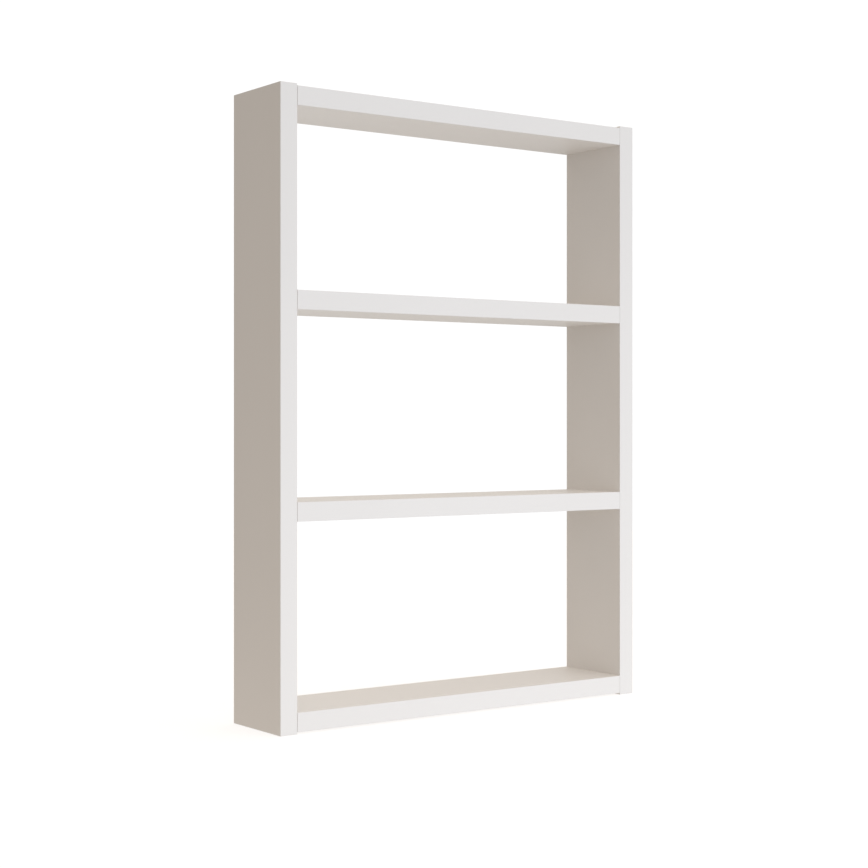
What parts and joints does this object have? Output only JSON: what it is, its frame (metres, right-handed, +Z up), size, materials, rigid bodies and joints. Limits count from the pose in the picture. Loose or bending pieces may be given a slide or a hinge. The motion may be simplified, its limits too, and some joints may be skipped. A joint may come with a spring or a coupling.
{
  "type": "desk hutch",
  "caption": "Tall, shallow, open-backed white board frame with shelves, which stands on a desk and is held to the wall by keyhole hangers.",
  "frame": {"origin": "middle of the underside of the two sides, where the hutch stands on the desk", "axes": "+X to the right seen from the front, the front edges face -Y and the back edges face +Y, +Z up"},
  "size_m": [0.6, 0.12, 0.83],
  "materials": {
    "white_board": "satin white melamine face on chipboard",
    "white_edging": "satin white ABS edging, 1 mm thick, with its corners rounded to 0.5 mm",
    "cam_zinc": null,
    "bolt_steel": "zinc-plated steel",
    "dowel_beech": "raw fluted beech",
    "hanger_steel": "zinc-plated sheet steel",
    "screw_steel": "zinc-plated steel"
  },
  "bodies": {
    "carcass": {"left_side_panel": "white_board", "right_side_panel": "white_board", "top_shelf": "white_board", "upper_shelf": "white_board", "lower_shelf": "white_board", "bottom_shelf": "white_board", "left_side_front_edging": "white_edging", "left_side_back_edging": "white_edging", "left_side_top_edging": "white_edging", "left_side_bottom_edging": "white_edging", "right_side_front_edging": "white_edging", "right_side_back_edging": "white_edging", "right_side_top_edging": "white_edging", "right_side_bottom_edging": "white_edging", "top_shelf_front_edging": "white_edging", "top_shelf_back_edging": "white_edging", "upper_shelf_front_edging": "white_edging", "upper_shelf_back_edging": "white_edging", "lower_shelf_front_edging": "white_edging", "lower_shelf_back_edging": "white_edging", "bottom_shelf_front_edging": "white_edging", "bottom_shelf_back_edging": "white_edging", "left_cam_bolts": "bolt_steel", "right_cam_bolts": "bolt_steel", "left_dowels": "dowel_beech", "right_dowels": "dowel_beech", "left_hanger_plate": "hanger_steel", "right_hanger_plate": "hanger_steel", "left_hanger_screws": "screw_steel", "right_hanger_screws": "screw_steel"},
    "top_shelf_cam_left_front": {"top_shelf_cam_left_front": "cam_zinc"},
    "top_shelf_cam_left_back": {"top_shelf_cam_left_back": "cam_zinc"},
    "top_shelf_cam_right_front": {"top_shelf_cam_right_front": "cam_zinc"},
    "top_shelf_cam_right_back": {"top_shelf_cam_right_back": "cam_zinc"},
    "upper_shelf_cam_left_front": {"upper_shelf_cam_left_front": "cam_zinc"},
    "upper_shelf_cam_left_back": {"upper_shelf_cam_left_back": "cam_zinc"},
    "upper_shelf_cam_right_front": {"upper_shelf_cam_right_front": "cam_zinc"},
    "upper_shelf_cam_right_back": {"upper_shelf_cam_right_back": "cam_zinc"},
    "lower_shelf_cam_left_front": {"lower_shelf_cam_left_front": "cam_zinc"},
    "lower_shelf_cam_left_back": {"lower_shelf_cam_left_back": "cam_zinc"},
    "lower_shelf_cam_right_front": {"lower_shelf_cam_right_front": "cam_zinc"},
    "lower_shelf_cam_right_back": {"lower_shelf_cam_right_back": "cam_zinc"},
    "bottom_shelf_cam_left_front": {"bottom_shelf_cam_left_front": "cam_zinc"},
    "bottom_shelf_cam_left_back": {"bottom_shelf_cam_left_back": "cam_zinc"},
    "bottom_shelf_cam_right_front": {"bottom_shelf_cam_right_front": "cam_zinc"},
    "bottom_shelf_cam_right_back": {"bottom_shelf_cam_right_back": "cam_zinc"}
  },
  "joints": [
    {"name": "top_shelf_cam_left_front_turn", "type": "hinge", "parent": "carcass", "child": "top_shelf_cam_left_front", "pos_m": [-0.241, -0.032, 0.8275], "axis": [0, 0, 1], "range_deg": [0, 180]},
    {"name": "top_shelf_cam_left_back_turn", "type": "hinge", "parent": "carcass", "child": "top_shelf_cam_left_back", "pos_m": [-0.241, 0.032, 0.8275], "axis": [0, 0, 1], "range_deg": [0, 180]},
    {"name": "top_shelf_cam_right_front_turn", "type": "hinge", "parent": "carcass", "child": "top_shelf_cam_right_front", "pos_m": [0.241, -0.032, 0.8275], "axis": [0, 0, 1], "range_deg": [0, 180]},
    {"name": "top_shelf_cam_right_back_turn", "type": "hinge", "parent": "carcass", "child": "top_shelf_cam_right_back", "pos_m": [0.241, 0.032, 0.8275], "axis": [0, 0, 1], "range_deg": [0, 180]},
    {"name": "upper_shelf_cam_left_front_turn", "type": "hinge", "parent": "carcass", "child": "upper_shelf_cam_left_front", "pos_m": [-0.241, -0.032, 0.567], "axis": [0, 0, 1], "range_deg": [0, 180]},
    {"name": "upper_shelf_cam_left_back_turn", "type": "hinge", "parent": "carcass", "child": "upper_shelf_cam_left_back", "pos_m": [-0.241, 0.032, 0.567], "axis": [0, 0, 1], "range_deg": [0, 180]},
    {"name": "upper_shelf_cam_right_front_turn", "type": "hinge", "parent": "carcass", "child": "upper_shelf_cam_right_front", "pos_m": [0.241, -0.032, 0.567], "axis": [0, 0, 1], "range_deg": [0, 180]},
    {"name": "upper_shelf_cam_right_back_turn", "type": "hinge", "parent": "carcass", "child": "upper_shelf_cam_right_back", "pos_m": [0.241, 0.032, 0.567], "axis": [0, 0, 1], "range_deg": [0, 180]},
    {"name": "lower_shelf_cam_left_front_turn", "type": "hinge", "parent": "carcass", "child": "lower_shelf_cam_left_front", "pos_m": [-0.241, -0.032, 0.271], "axis": [0, 0, -1], "range_deg": [0, 180]},
    {"name": "lower_shelf_cam_left_back_turn", "type": "hinge", "parent": "carcass", "child": "lower_shelf_cam_left_back", "pos_m": [-0.241, 0.032, 0.271], "axis": [0, 0, -1], "range_deg": [0, 180]},
    {"name": "lower_shelf_cam_right_front_turn", "type": "hinge", "parent": "carcass", "child": "lower_shelf_cam_right_front", "pos_m": [0.241, -0.032, 0.271], "axis": [0, 0, -1], "range_deg": [0, 180]},
    {"name": "lower_shelf_cam_right_back_turn", "type": "hinge", "parent": "carcass", "child": "lower_shelf_cam_right_back", "pos_m": [0.241, 0.032, 0.271], "axis": [0, 0, -1], "range_deg": [0, 180]},
    {"name": "bottom_shelf_cam_left_front_turn", "type": "hinge", "parent": "carcass", "child": "bottom_shelf_cam_left_front", "pos_m": [-0.241, -0.032, 0.0025], "axis": [0, 0, -1], "range_deg": [0, 180]},
    {"name": "bottom_shelf_cam_left_back_turn", "type": "hinge", "parent": "carcass", "child": "bottom_shelf_cam_left_back", "pos_m": [-0.241, 0.032, 0.0025], "axis": [0, 0, -1], "range_deg": [0, 180]},
    {"name": "bottom_shelf_cam_right_front_turn", "type": "hinge", "parent": "carcass", "child": "bottom_shelf_cam_right_front", "pos_m": [0.241, -0.032, 0.0025], "axis": [0, 0, -1], "range_deg": [0, 180]},
    {"name": "bottom_shelf_cam_right_back_turn", "type": "hinge", "parent": "carcass", "child": "bottom_shelf_cam_right_back", "pos_m": [0.241, 0.032, 0.0025], "axis": [0, 0, -1], "range_deg": [0, 180]}
  ]
}
